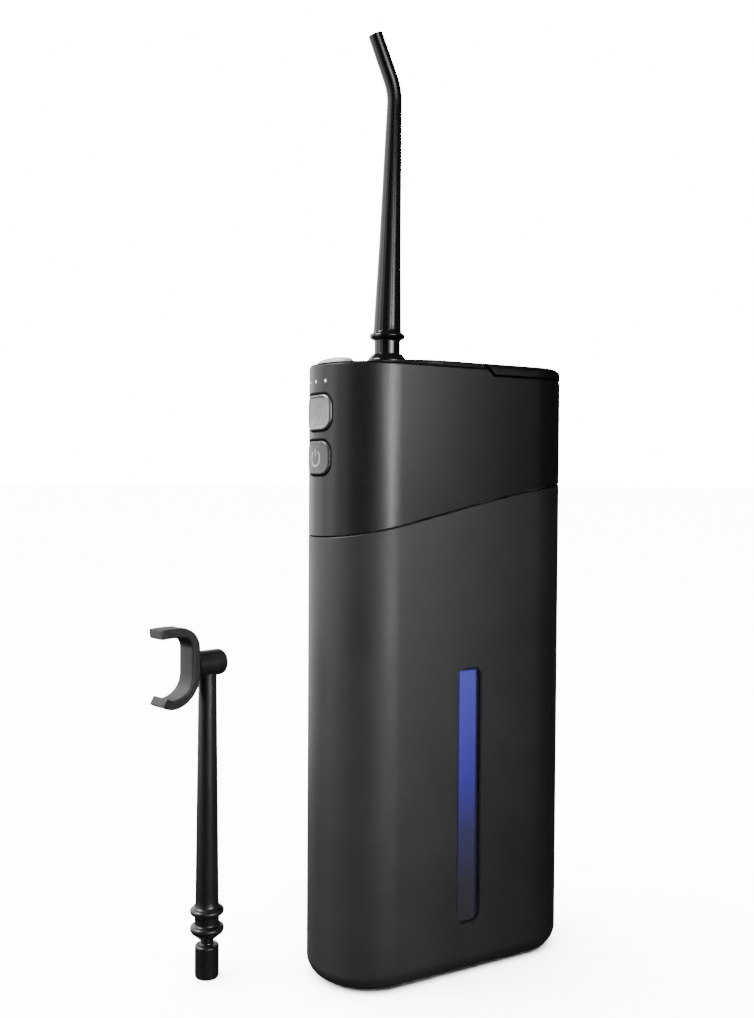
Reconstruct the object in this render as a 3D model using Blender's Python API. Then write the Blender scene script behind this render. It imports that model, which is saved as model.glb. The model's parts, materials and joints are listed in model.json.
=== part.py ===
"""Cordless water flosser with a lift-off head, a hinged tip store and a spare U-shaped tip.

Sizes are written in millimetres and scaled to metres as each mesh is made.
+Z is up, the front face with the window looks along -Y, and the two buttons are on the -X end.
The origin is the centre of the tank's resting face.
"""

import math

import bmesh
import bpy
from mathutils import Matrix, Vector

MM = 0.001
GAP = 0.3                       # clearance left between neighbouring pieces

# Outer body: a stadium in plan, two half-round ends joined by flat flanks.
BODY_W = 70.0
BODY_R = 15.1
END_X = BODY_W / 2 - BODY_R     # centre of each half-round end
BASE_Z = 0.4                    # lowest edge of the sleeve, just above the foot's sole
BASE_ROUND = 4.3
FOOT_INSET = 5.3                # sole's edge, inside the sleeve's outline
WALL = 1.8
RIM_Z = 149.1                   # top edge of the housing beside the deck
LID_SEAT_Z = 147.5              # top edge of the housing under the lid
HINGE_SEAT_Z = 146.4            # lowered edge at the lid's hinge
SHELF_Z = 149.4                 # top of the thin flange that covers the rim
DECK_Z = 150.6                  # top of the raised platform
PLATFORM_R = 13.9
PLATFORM_X = -7.2               # centre of the platform's round end

# Parting line between sleeve and housing, a gentle S along the flanks.
SEAM_MID = 115.5
SEAM_SLOPE = 0.228
SEAM_BEND = -0.00069
SEAM_TWIST = -0.0000321

# Window in the sleeve's front face.
WINDOW_HALF = 3.5
WINDOW_LOW = 12.9
WINDOW_HIGH = 76.2
WINDOW_SET_BACK = 1.0

# Tank and chassis inside the sleeve.
TANK_INSET = WALL + GAP
TANK_WALL = 1.2
TANK_FLOOR_Z = 3.9
TANK_TOP_Z = 82.0
CHASSIS_LOW = 84.0
CHASSIS_TOP = 143.5
PLUG_INSET = 5.0
PLUG_LOW = 79.0
TUBE_X = -27.5                  # suction tube and filter, on the centre plane
TUBE_HOLE_R = 2.4

# Tip store under the lid.
STORE_X = 19.45
STORE_HALF = 11.25
STORE_R = 7.5
STORE_FLOOR_Z = 60.0
STORE_WALL = 1.2
STORE_FLANGE = (144.0, 145.6)

# Lid and its slanted left end.
LID_LEFT = 6.9                  # left end of the lid at its lower edge
LID_SLANT = 0.95                # run per rise of the slanted joint
LID_GAP = 0.5
LID_LOW = 147.8
LID_ROUND = 1.4
HINGE_X = 34.0
HINGE_Z = 147.7
HINGE_R = 0.65
HINGE_HALF = 3.2
HINGE_NOTCH = (31.5, 32.4)

# Buttons on the -X end.
BUTTON_PROUD = 0.25
BUTTON_BACK_X = -31.6
POWER = {"z": 126.95, "half_y": 5.4, "half_z": 4.05}
MODE = {"z": 137.75, "half_y": 5.75, "half_z": 4.25}
SWITCH_X = (-30.5, -28.9)
BOARD_X = (-28.6, -27.4)
INDICATOR_Z = 145.1
INDICATOR_R = 0.45
INDICATOR_PITCH = 3.9

# Tip release button on the shelf.
RELEASE_X = -29.8
RELEASE_HALF_X = 3.1
RELEASE_HALF_Y = 7.4
RELEASE_LOW = 147.0
RELEASE_CROWN = 150.9
SPRING_WIRE_R = 0.2
SPRING_R = 1.6
SPRING_TURNS = 3

# Mounted jet tip, its swivel collar and its socket.
NOZZLE_X = -15.3
SWIVEL_BORE = 3.4
SWIVEL_SKIRT_R = 4.0

# Pump drive: motor, pinion, crank gear, rod and piston.
GEAR_MODULE = 0.6
PINION_TEETH = 8
GEAR_TEETH = 24
GEAR_BACKLASH = 0.25
MOTOR_X = -0.5
CENTRE_DISTANCE = GEAR_MODULE * (PINION_TEETH + GEAR_TEETH) / 2 + GEAR_BACKLASH
GEAR_X = MOTOR_X - CENTRE_DISTANCE
GEAR_Z = (128.0, 130.6)
CRANK_R = 1.75
PISTON_Z = 134.6
ROD_PIVOT_X = -20.2

# Charge port on the rear face of the housing.
PORT_Z = 136.5
PORT_HALF = (4.8, 1.9)
COVER_LOW = PORT_Z - 4.2
COVER_HIGH = PORT_Z + 4.4
COVER_HALF = 6.6
COVER_HINGE_Z = COVER_HIGH + 0.2

# Spare tip, standing beside the body.
SPARE_X = -56.2
SPARE_Y = 15.6
SPARE_TURN = 14.0              # degrees, heading of the barrel about Z
BARREL_Z = 77.0
BARREL_R = 3.2
BARREL_LEFT = -3.65             # where the barrel meets the fork
BARREL_RIGHT = 4.4
FORK_HALF_BAND = 1.15
FORK_HALF_WIDTH = 3.0
FORK_LOW_R = 6.6
FORK_HIGH_R = 4.2


def clear_scene():
    for item in list(bpy.data.objects):
        bpy.data.objects.remove(item, do_unlink=True)


def material(name, colour, roughness, metallic=0.0, alpha=1.0):
    made = bpy.data.materials.new(name)
    made.use_nodes = True
    shader = made.node_tree.nodes["Principled BSDF"]
    shader.inputs["Base Color"].default_value = (*colour, 1.0)
    shader.inputs["Roughness"].default_value = roughness
    shader.inputs["Metallic"].default_value = metallic
    shader.inputs["Alpha"].default_value = alpha
    return made


def seam_z(x):
    return SEAM_MID + SEAM_SLOPE * x + SEAM_BEND * x**2 + SEAM_TWIST * x**3


def seat_z(x):
    """Top edge of the housing: deck rim, slanted step, lid seat, hinge notch."""
    step = LID_LEFT - LID_GAP
    if x <= step - (RIM_Z - LID_SEAT_Z) * LID_SLANT + 0.001:
        return RIM_Z
    if x < step - 0.001:
        return RIM_Z - (x - step) / LID_SLANT - (RIM_Z - LID_SEAT_Z)
    if x < HINGE_NOTCH[0]:
        return LID_SEAT_Z
    if x > HINGE_NOTCH[1]:
        return HINGE_SEAT_Z
    fall = (x - HINGE_NOTCH[0]) / (HINGE_NOTCH[1] - HINGE_NOTCH[0])
    return LID_SEAT_Z + fall * (HINGE_SEAT_Z - LID_SEAT_Z)


def arc(centre, radius, start, stop, steps):
    """Points on an arc in plan, angles in degrees."""
    points = []
    for i in range(steps + 1):
        angle = math.radians(start + (stop - start) * i / steps)
        points.append((centre[0] + radius * math.cos(angle), centre[1] + radius * math.sin(angle)))
    return points


def stadium(inset, flank=(), steps=16, half=END_X, radius=BODY_R, centre_x=0.0):
    """Counter-clockwise stadium outline; flank lists extra stations along both flats."""
    r = radius - inset
    right = arc((centre_x + half, 0.0), r, -90.0, 90.0, steps)
    left = arc((centre_x - half, 0.0), r, 90.0, 270.0, steps)
    rear = [(x, r) for x in sorted(flank, reverse=True)]
    front = [(x, -r) for x in sorted(flank)]
    return right + rear + left + front


def circle(radius, steps, centre=(0.0, 0.0)):
    return arc(centre, radius, 0.0, 360.0, steps)[:-1]


def rounded_box(half_x, half_y, radius, steps=4):
    corners = [(1, -1, -90), (1, 1, 0), (-1, 1, 90), (-1, -1, 180)]
    points = []
    for sx, sy, start in corners:
        centre = (sx * (half_x - radius), sy * (half_y - radius))
        points += arc(centre, radius, start, start + 90, steps)
    return points


def level(outline, z):
    """Lift a plan outline to height z, a number or a function of x."""
    return [(x, y, z(x) if callable(z) else z) for x, y in outline]


def add_part(name, verts, faces, look, origin=(0.0, 0.0, 0.0), sharp=35.0):
    mesh = bpy.data.meshes.new(name)
    shift = Vector(origin)
    mesh.from_pydata([(Vector(v) - shift) * MM for v in verts], [], faces)
    work = bmesh.new()
    work.from_mesh(mesh)
    bmesh.ops.recalc_face_normals(work, faces=work.faces)
    work.to_mesh(mesh)
    work.free()
    mesh.materials.append(look)
    mesh.shade_smooth()
    mesh.set_sharp_from_angle(angle=math.radians(sharp))
    made = bpy.data.objects.new(name, mesh)
    made.location = shift * MM
    bpy.context.scene.collection.objects.link(made)
    return made


def loft(name, rings, look, origin=(0.0, 0.0, 0.0), closed=False):
    """Skin equal-sized rings in order; the ends are capped unless the section closes on itself."""
    count = len(rings[0])
    verts = [point for ring in rings for point in ring]
    faces = []
    spans = len(rings) if closed else len(rings) - 1
    for k in range(spans):
        low = k * count
        high = ((k + 1) % len(rings)) * count
        for i in range(count):
            j = (i + 1) % count
            faces.append((low + i, low + j, high + j, high + i))
    if not closed:
        faces.append(tuple(reversed(range(count))))
        faces.append(tuple(range((len(rings) - 1) * count, len(rings) * count)))
    return add_part(name, verts, faces, look, origin)


def prism(name, outline, low, high, look, origin=(0.0, 0.0, 0.0)):
    return loft(name, [level(outline, low), level(outline, high)], look, origin)


def box(name, low, high, look, origin=(0.0, 0.0, 0.0)):
    outline = [(low[0], low[1]), (high[0], low[1]), (high[0], high[1]), (low[0], high[1])]
    return prism(name, outline, low[2], high[2], look, origin)


def turned(name, profile, look, centre=(0.0, 0.0), steps=24, origin=None, closed=False):
    """Turn (radius, z) pairs about the vertical through centre."""
    rings = [level(circle(r, steps, centre), z) for r, z in profile]
    return loft(name, rings, look, origin or (*centre, 0.0), closed)


def rod_along(name, start, stop, radii, look, steps=16, origin=(0.0, 0.0, 0.0)):
    """A straight rod whose (distance, radius) pairs run from start towards stop."""
    axis = (Vector(stop) - Vector(start)).normalized()
    turn = Vector((0, 0, 1)).rotation_difference(axis).to_matrix()
    rings = []
    for distance, radius in radii:
        ring = [turn @ Vector((x, y, distance)) + Vector(start) for x, y in circle(radius, steps)]
        rings.append(ring)
    return loft(name, rings, look, origin)


def as_tool(item):
    item.hide_render = True
    item.display_type = "WIRE"
    return item


def apply_tool(target, item, operation="DIFFERENCE"):
    step = target.modifiers.new(item.name, "BOOLEAN")
    step.operation = operation
    step.solver = "EXACT"
    step.object = as_tool(item)


def flank_stations():
    step = LID_LEFT - LID_GAP
    return [-15.0, -9.0, -3.0, step - (RIM_Z - LID_SEAT_Z) * LID_SLANT, step, 13.0]


def slant_x(z, gap=0.0):
    """Where the slanted joint between deck and lid lies at height z."""
    return LID_LEFT - gap - (z - LID_LOW) * LID_SLANT


# ---------------------------------------------------------------- tank and sleeve

def tank_sleeve(look, tool_look):
    flank = flank_stations()
    section = [(FOOT_INSET - GAP, BASE_Z + 0.8), (FOOT_INSET - GAP, BASE_Z)]
    for angle in (0, 30, 60, 90):
        turn = math.radians(angle)
        inset = BASE_ROUND * (1 - math.sin(turn))
        section.append((inset, BASE_Z + BASE_ROUND * (1 - math.cos(turn))))
    rings = [level(stadium(inset, flank), z) for inset, z in section]
    rings.append(level(stadium(0.0, flank), lambda x: seam_z(x) - 0.45))
    rings.append(level(stadium(0.25, flank), lambda x: seam_z(x) - 0.15))
    rings.append(level(stadium(WALL, flank), lambda x: seam_z(x) - 0.15))
    rings.append(level(stadium(WALL, flank), 5.0))
    rings.append(level(stadium(WALL + 2.4, flank), 2.3))
    sleeve = loft("tank_sleeve", rings, look)
    height = WINDOW_HIGH - WINDOW_LOW
    outline = rounded_box(WINDOW_HALF, height / 2, 2.0)
    slot = prism("cut_window", outline, -2.0, 2.0, tool_look)
    slot.rotation_euler = (math.radians(90), 0.0, 0.0)
    slot.location = Vector((0.0, -14.2, (WINDOW_HIGH + WINDOW_LOW) / 2)) * MM
    apply_tool(sleeve, slot)


def window_lens(look):
    height = WINDOW_HIGH - WINDOW_LOW
    outline = rounded_box(WINDOW_HALF - GAP, height / 2 - GAP, 1.7)
    front = -(BODY_R - WINDOW_SET_BACK)
    middle = (WINDOW_HIGH + WINDOW_LOW) / 2
    rings = [[(x, y, z + middle) for x, z in outline] for y in (front, front + 0.8)]
    loft("window_lens", rings, look)


def water_tank(look):
    section = [
        (TANK_INSET + 3.0, TANK_FLOOR_Z - TANK_WALL),
        (TANK_INSET + 0.8, TANK_FLOOR_Z),
        (TANK_INSET, TANK_FLOOR_Z + 2.2),
        (TANK_INSET, TANK_TOP_Z),
        (TANK_INSET + TANK_WALL, TANK_TOP_Z),
        (TANK_INSET + TANK_WALL, TANK_FLOOR_Z + 2.2),
        (TANK_INSET + TANK_WALL + 2.2, TANK_FLOOR_Z),
    ]
    loft("water_tank", [level(stadium(inset, steps=12), z) for inset, z in section], look)


def base_foot(look):
    section = [(FOOT_INSET + 0.2, 0.0), (FOOT_INSET, 0.2), (FOOT_INSET, BASE_Z + 0.5)]
    loft("base_foot", [level(stadium(inset), z) for inset, z in section], look)


# ---------------------------------------------------------------- head shell

def head_housing(look, tool_look):
    flank = flank_stations()
    rings = [
        level(stadium(WALL, flank), lambda x: seam_z(x) + 0.15),
        level(stadium(0.25, flank), lambda x: seam_z(x) + 0.15),
        level(stadium(0.0, flank), lambda x: seam_z(x) + 0.45),
        level(stadium(0.0, flank), lambda x: seat_z(x) - 0.25),
        level(stadium(0.25, flank), seat_z),
        level(stadium(WALL, flank), seat_z),
    ]
    housing = loft("head_housing", rings, look, closed=True)
    for button in (POWER, MODE):
        name = "cut_button_" + str(int(button["z"]))
        half_y = button["half_y"] + 0.35
        half_z = button["half_z"] + 0.35
        outline = rounded_box(half_z, half_y, 3.0)
        rings = [[(x, y, button["z"] + z) for z, y in outline] for x in (-37.0, -28.0)]
        apply_tool(housing, loft(name, rings, tool_look))
    for index in (-1, 0, 1):
        name = "cut_indicator_" + str(index + 1)
        apply_tool(housing, indicator(name, index, INDICATOR_R + GAP, -2.5, 1.5, tool_look))
    pocket = box("cut_pocket", (-COVER_HALF - 0.35, 14.1, COVER_LOW - 0.35),
                 (COVER_HALF + 0.35, 17.0, COVER_HINGE_Z + 0.3), tool_look)
    apply_tool(housing, pocket)
    port = rounded_box(PORT_HALF[0], PORT_HALF[1], 1.6)
    rings = [[(x, y, z + PORT_Z) for x, z in port] for y in (16.0, 12.0)]
    apply_tool(housing, loft("cut_port", rings, tool_look))


def indicator(name, index, radius, inner, outer, look):
    """A short radial pin through the end wall; inner and outer are measured from its face."""
    angle = math.radians(180.0) + index * INDICATOR_PITCH / BODY_R
    out = Vector((math.cos(angle), math.sin(angle), 0.0))
    centre = Vector((-END_X, 0.0, INDICATOR_Z))
    start = centre + out * (BODY_R + inner)
    stop = centre + out * (BODY_R + outer)
    return rod_along(name, start, stop, [(0.0, radius), (outer - inner, radius)], look, 12)


def deck_outline(inset, cut_x):
    """Left part of the stadium, closed by a straight edge at cut_x."""
    r = BODY_R - inset
    return [(cut_x, r)] + arc((-END_X, 0.0), r, 90.0, 270.0, 20) + [(cut_x, -r)]


def platform_outline(cut_x):
    r = PLATFORM_R
    return [(cut_x, r)] + arc((PLATFORM_X, 0.0), r, 90.0, 270.0, 20) + [(cut_x, -r)]


def deck_cover(look, tool_look):
    """Top deck: a plug in the housing, a thin shelf over its rim, and a raised platform."""
    cut = [slant_x(z, LID_GAP) for z in (RIM_Z, SHELF_Z, DECK_Z)]
    plug_cut = slant_x(RIM_Z, LID_GAP) - 0.3
    rings = [
        level(deck_outline(TANK_INSET, plug_cut), 147.0),
        level(deck_outline(TANK_INSET, plug_cut), RIM_Z + 0.15),
        level(deck_outline(0.25, cut[0]), RIM_Z + 0.15),
        level(deck_outline(0.25, cut[1]), SHELF_Z),
        level(platform_outline(cut[1] - 0.25), SHELF_Z),
        level(platform_outline(cut[2] - 0.1), DECK_Z - 0.15),
        level([(x, y * 0.985) for x, y in platform_outline(cut[2] - 0.25)], DECK_Z),
    ]
    deck = loft("deck_cover", rings, look)
    oval = [(RELEASE_X + x, y) for x, y in ellipse(RELEASE_HALF_X + 0.32, RELEASE_HALF_Y + 0.32)]
    apply_tool(deck, prism("cut_release", oval, 140.0, 155.0, tool_look))
    bore = circle(SWIVEL_SKIRT_R + GAP, 24, (NOZZLE_X, 0.0))
    apply_tool(deck, prism("cut_socket", bore, 140.0, 155.0, tool_look))


def ellipse(half_x, half_y, steps=28):
    return [(half_x * x, half_y * y) for x, y in circle(1.0, steps)]


def chassis(look, tool_look):
    rings = [
        level(stadium(PLUG_INSET, steps=12), PLUG_LOW),
        level(stadium(PLUG_INSET, steps=12), CHASSIS_LOW),
        level(stadium(TANK_INSET, steps=12), CHASSIS_LOW),
        level(stadium(TANK_INSET, steps=12), CHASSIS_TOP),
        level(stadium(TANK_INSET + TANK_WALL, steps=12), CHASSIS_TOP),
        level(stadium(TANK_INSET + TANK_WALL, steps=12), CHASSIS_LOW + 2.0),
    ]
    tray = loft("inner_chassis", rings, look)
    open_end = box("cut_chassis_end", (-40.0, -20.0, 119.2), (-26.0, 20.0, 150.0), tool_look)
    apply_tool(tray, open_end)
    store = stadium(-GAP, steps=10, half=STORE_HALF - STORE_R, radius=STORE_R, centre_x=STORE_X)
    apply_tool(tray, prism("cut_chassis_store", store, 70.0, 90.0, tool_look))
    tube = circle(TUBE_HOLE_R, 16, (TUBE_X, 0.0))
    apply_tool(tray, prism("cut_chassis_tube", tube, 70.0, 90.0, tool_look))
    rear = box("cut_chassis_port", (-6.0, 8.0, 122.0), (6.0, 16.0, 150.0), tool_look)
    apply_tool(tray, rear)


def tank_seal(look):
    inner = TANK_INSET + 1.9
    outer = TANK_INSET + 0.2
    low, high = TANK_TOP_Z + GAP, CHASSIS_LOW - GAP
    section = [(inner, low), (outer, low), (outer, high), (inner, high)]
    rings = [level(stadium(inset, steps=12), z) for inset, z in section]
    loft("tank_seal", rings, look, closed=True)


def store_cup(look, tool_look):
    shape = {"steps": 10, "half": STORE_HALF - STORE_R, "radius": STORE_R, "centre_x": STORE_X}
    low = STORE_FLOOR_Z - STORE_WALL
    cup = prism("store_cup", stadium(0.0, **shape), low, STORE_FLANGE[1], look)
    r = BODY_R - TANK_INSET
    outline = [(6.0, -r)] + arc((END_X, 0.0), r, -90.0, 90.0, 14) + [(6.0, r)]
    apply_tool(cup, prism("join_flange", outline, *STORE_FLANGE, tool_look), "UNION")
    inside = stadium(STORE_WALL, **shape)
    apply_tool(cup, prism("cut_store", inside, STORE_FLOOR_Z, 150.0, tool_look))


# ---------------------------------------------------------------- fixed works in the head

def battery_cell(look):
    radii = [(0.0, 7.6), (0.4, 8.0), (30.4, 8.0), (30.8, 7.6), (30.8, 3.0), (32.0, 3.0)]
    rod_along("battery_cell", (-24.5, 0.0, 96.0), (7.5, 0.0, 96.0), radii, look, 20)


def motor_can(look):
    profile = [(7.4, 105.0), (7.4, 125.2), (3.0, 125.2), (3.0, 125.9)]
    turned("motor_can", profile, look, (MOTOR_X, 0.0), 20)


def gear_plate(look, tool_look):
    plate = box("gear_plate", (-19.5, -9.0, 126.2), (7.0, 9.0, 127.4), look)
    for name, x in (("cut_shaft", MOTOR_X), ("cut_axle", GEAR_X)):
        apply_tool(plate, prism(name, circle(1.3, 12, (x, 0.0)), 120.0, 130.0, tool_look))


def pump_cylinder(look, tool_look):
    start = (-26.6, 0.0, PISTON_Z)
    stop = (-18.4, 0.0, PISTON_Z)
    barrel = rod_along("pump_cylinder", start, stop, [(0.0, 4.7), (8.2, 4.7)], look, 20)
    bore = rod_along("cut_bore", start, stop, [(1.4, 3.3), (12.0, 3.3)], tool_look, 20)
    apply_tool(barrel, bore)


def valves(look):
    turned("inlet_valve", [(2.5, 119.4), (2.5, 128.6), (1.6, 129.5)], look, (-22.5, 0.0), 16)
    box("inlet_manifold", (-30.0, -3.0, 116.5), (-20.5, 3.0, 119.0), look)
    box("outlet_valve", (-26.0, -4.0, 139.7), (-20.8, 4.0, 143.6), look)


def nozzle_socket(look):
    profile = [(5.0, 139.8), (5.0, 146.7), (SWIVEL_BORE, 146.7), (SWIVEL_BORE, 141.0)]
    turned("nozzle_socket", profile, look, (NOZZLE_X, 0.0), 20)


def circuit_board(look):
    box("circuit_board", (BOARD_X[0], -7.5, 119.6), (BOARD_X[1], 7.5, 143.4), look)


def switches(look):
    for name, button in (("switch_power", POWER), ("switch_mode", MODE)):
        z = button["z"]
        box(name, (SWITCH_X[0], -2.2, z - 2.2), (SWITCH_X[1], 2.2, z + 2.2), look)


def usb_port(look):
    outer = rounded_box(4.4, 1.6, 1.4)
    inner = rounded_box(4.0, 1.2, 1.0)
    rings = []
    for outline, y in ((outer, 6.6), (outer, 12.8), (inner, 12.8), (inner, 7.2)):
        rings.append([(x, y, z + PORT_Z) for x, z in outline])
    loft("usb_port", rings, look)


def latch_bracket(look):
    box("latch_bracket", (-32.0, -4.6, 143.9), (-26.2, 4.6, 144.7), look)


def release_spring(look):
    """A coil of round wire under the release button."""
    ring_steps = 12
    verts, faces, sides = [], [], 6
    total = SPRING_TURNS * ring_steps
    low, high = 145.2, 146.5
    for i in range(total + 1):
        angle = 2 * math.pi * i / ring_steps
        centre = Vector((math.cos(angle) * SPRING_R, math.sin(angle) * SPRING_R, 0.0))
        out = centre.normalized()
        centre += Vector((RELEASE_X, 0.0, low + (high - low) * i / total))
        for k in range(sides):
            turn = 2 * math.pi * k / sides
            offset = out * math.cos(turn) + Vector((0, 0, 1)) * math.sin(turn)
            verts.append(centre + offset * SPRING_WIRE_R)
    for i in range(total):
        for k in range(sides):
            a, b = i * sides + k, i * sides + (k + 1) % sides
            faces.append((a, b, b + sides, a + sides))
    faces.append(tuple(range(sides)))
    faces.append(tuple(reversed(range(total * sides, (total + 1) * sides))))
    add_part("release_spring", verts, faces, look)


def suction_line(look, filter_look):
    bore = [(2.0, 13.4), (2.0, 116.2), (1.2, 116.2), (1.2, 14.0)]
    turned("suction_tube", bore, look, (TUBE_X, 0.0), 12)
    plug = [(2.6, 6.6), (3.0, 7.0), (3.0, 12.6), (2.6, 13.1)]
    turned("intake_filter", plug, filter_look, (TUBE_X, 0.0), 12)


# ---------------------------------------------------------------- moving pieces

def push_button(name, button, look):
    """A cap whose front follows the round end of the body; it slides along X."""
    outline = rounded_box(button["half_z"], button["half_y"], 2.7)
    origin = (-BODY_W / 2, 0.0, button["z"])
    back = [(BUTTON_BACK_X, y, button["z"] + z) for z, y in outline]
    rings = [list(reversed(back))]
    for scale, proud in ((1.0, -0.1), (0.95, BUTTON_PROUD), (0.6, BUTTON_PROUD), (0.25, BUTTON_PROUD)):
        ring = []
        for z, y in outline:
            reach = math.sqrt((BODY_R + proud)**2 - (y * scale)**2)
            ring.append((-END_X - reach, y * scale, button["z"] + z * scale))
        rings.append(list(reversed(ring)))
    loft(name, rings, look, origin)


def release_button(look):
    rings = []
    for scale, z in ((1.0, RELEASE_LOW), (1.0, 150.0), (0.92, 150.5), (0.75, 150.75), (0.3, RELEASE_CROWN)):
        shape = ellipse(RELEASE_HALF_X * scale, RELEASE_HALF_Y * scale)
        rings.append([(RELEASE_X + x, y, z) for x, y in shape])
    loft("release_button", rings, look, (RELEASE_X, 0.0, RELEASE_CROWN))


def swivel_collar(look):
    profile = [
        (SWIVEL_BORE, 147.1), (SWIVEL_SKIRT_R, 147.1), (SWIVEL_SKIRT_R, 150.8), (4.9, 150.8),
        (4.9, 151.4), (3.8, 152.9), (SWIVEL_BORE, 152.9),
    ]
    turned("swivel_collar", profile, look, (NOZZLE_X, 0.0), 24, closed=True)


def jet_stations():
    """(x, z, radius, lean in degrees) up the mounted tip, from its plug to its bent end."""
    lower = [
        (NOZZLE_X, 141.6, 2.5), (NOZZLE_X, 142.1, 2.95), (NOZZLE_X, 147.5, 2.95),
        (NOZZLE_X, 148.3, 3.2), (NOZZLE_X, 155.1, 3.2), (NOZZLE_X, 155.5, 4.2),
        (NOZZLE_X, 155.9, 4.5), (NOZZLE_X, 156.4, 4.5), (NOZZLE_X, 156.9, 3.6),
        (NOZZLE_X, 158.5, 3.4), (-14.72, 180.0, 2.7), (-14.1, 201.0, 2.2),
    ]
    stations = [(x, z, r, 0.0) for x, z, r in lower]
    bend = (-13.66, 215.2)
    radius, lean = 14.0, 24.0
    for i in range(5):
        angle = lean * i / 4
        turn = math.radians(angle)
        x = bend[0] - radius * (1 - math.cos(turn))
        z = bend[1] + radius * math.sin(turn)
        stations.append((x, z, 1.86, angle))
    end_x, end_z = stations[-1][0], stations[-1][1]
    turn = math.radians(lean)
    length = (230.8 - end_z) / math.cos(turn)
    stations.append((end_x - length * math.sin(turn), 230.8, 1.8, lean))
    return stations


def jet_nozzle(look):
    rings = []
    for x, z, r, lean in jet_stations():
        tilt = Matrix.Rotation(math.radians(-lean), 3, "Y")
        rings.append([tilt @ Vector((a, b, 0.0)) + Vector((x, 0.0, z)) for a, b in circle(r, 16)])
    loft("jet_nozzle", rings, look, (NOZZLE_X, 0.0, 142.0))


def lid(look, tool_look):
    def shape(inset, z, left_inset=0.0):
        r = BODY_R - inset
        left = slant_x(z) + left_inset
        outline = [(left, -r)] + arc((END_X, 0.0), r, -90.0, 90.0, 16) + [(left, r)]
        return level(outline, z)

    rings = [shape(1.8, LID_LOW + 1.2, 1.8), shape(1.8, LID_LOW, 1.8), shape(0.0, LID_LOW)]
    rings.append(shape(0.0, DECK_Z - LID_ROUND))
    rings.append(shape(LID_ROUND * 0.29, DECK_Z - LID_ROUND * 0.29))
    rings.append(shape(LID_ROUND, DECK_Z))
    cover = loft("store_lid", rings, look, (HINGE_X, 0.0, HINGE_Z))
    start = (HINGE_X, -HINGE_HALF, HINGE_Z)
    stop = (HINGE_X, HINGE_HALF, HINGE_Z)
    barrel = rod_along("join_barrel", start, stop, [(0.0, HINGE_R), (2 * HINGE_HALF, HINGE_R)], tool_look, 12)
    apply_tool(cover, barrel, "UNION")


def port_cover(look, tool_look):
    plate = rounded_box(COVER_HALF, (COVER_HIGH - COVER_LOW) / 2, 1.2)
    middle = (COVER_HIGH + COVER_LOW) / 2
    rings = [[(x, y, z + middle) for x, z in plate] for y in (15.1, 14.4)]
    cover = loft("port_cover", rings, look, (0.0, BODY_R, COVER_HINGE_Z))
    boss = rounded_box(3.9, 1.0, 0.8)
    rings = [[(x, y, z + PORT_Z) for x, z in boss] for y in (14.8, 13.2)]
    apply_tool(cover, loft("join_boss", rings, tool_look), "UNION")


def gear_outline(teeth, centre_x, phase):
    """Plan outline of a spur gear with trapezoid teeth, thinned for running clearance."""
    pitch_r = GEAR_MODULE * teeth / 2
    root, tip = pitch_r - 0.8 * GEAR_MODULE * 1.4, pitch_r + 0.7 * GEAR_MODULE
    step = 360.0 / teeth
    points = []
    for i in range(teeth):
        centre = phase + i * step
        for offset, radius in ((-0.24, root), (-0.1, tip), (0.1, tip), (0.24, root)):
            angle = math.radians(centre + offset * step)
            points.append((centre_x + radius * math.cos(angle), radius * math.sin(angle)))
    return points


def pump_drive(steel, plastic):
    outline = gear_outline(PINION_TEETH, MOTOR_X, 180.0)
    pinion = prism("pinion", outline, *GEAR_Z, steel, (MOTOR_X, 0.0, GEAR_Z[0]))
    shaft = prism("join_shaft", circle(1.0, 12, (MOTOR_X, 0.0)), 126.2, 129.0, steel)
    apply_tool(pinion, shaft, "UNION")
    outline = gear_outline(GEAR_TEETH, GEAR_X, 180.0 / GEAR_TEETH)
    gear = prism("crank_gear", outline, *GEAR_Z, plastic, (GEAR_X, 0.0, GEAR_Z[0]))
    axle = prism("join_axle", circle(1.0, 12, (GEAR_X, 0.0)), 126.2, 129.0, plastic)
    apply_tool(gear, axle, "UNION")
    pin = prism("join_crank_pin", circle(0.9, 12, (GEAR_X - CRANK_R, 0.0)), 130.0, 133.3, plastic)
    apply_tool(gear, pin, "UNION")


def piston_and_rod(steel, plastic, tool_look):
    start, stop = (-24.4, 0.0, PISTON_Z), (-18.6, 0.0, PISTON_Z)
    radii = [(0.0, 2.7), (0.3, 3.0), (5.8, 3.0)]
    piston = rod_along("piston", start, stop, radii, plastic, 20, (ROD_PIVOT_X, 0.0, PISTON_Z))
    slot = box("cut_slot", (-21.7, -5.0, 133.5), (-17.0, 5.0, 135.7), tool_look)
    apply_tool(piston, slot)
    big_end = arc((GEAR_X - CRANK_R, 0.0), 1.5, -60.0, 60.0, 6)
    small_end = arc((ROD_PIVOT_X, 0.0), 1.1, 110.0, 250.0, 6)
    origin = (ROD_PIVOT_X, 0.0, PISTON_Z)
    prism("connecting_rod", big_end + small_end, 133.8, 135.4, steel, origin)


# ---------------------------------------------------------------- spare tip

def along_barrel(distance, side=0.0, z=0.0):
    """World place of a point on the spare tip: along its barrel, across it, and up."""
    turn = math.radians(SPARE_TURN)
    x = SPARE_X + distance * math.cos(turn) - side * math.sin(turn)
    y = SPARE_Y + distance * math.sin(turn) + side * math.cos(turn)
    return (x, y, z)


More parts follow.
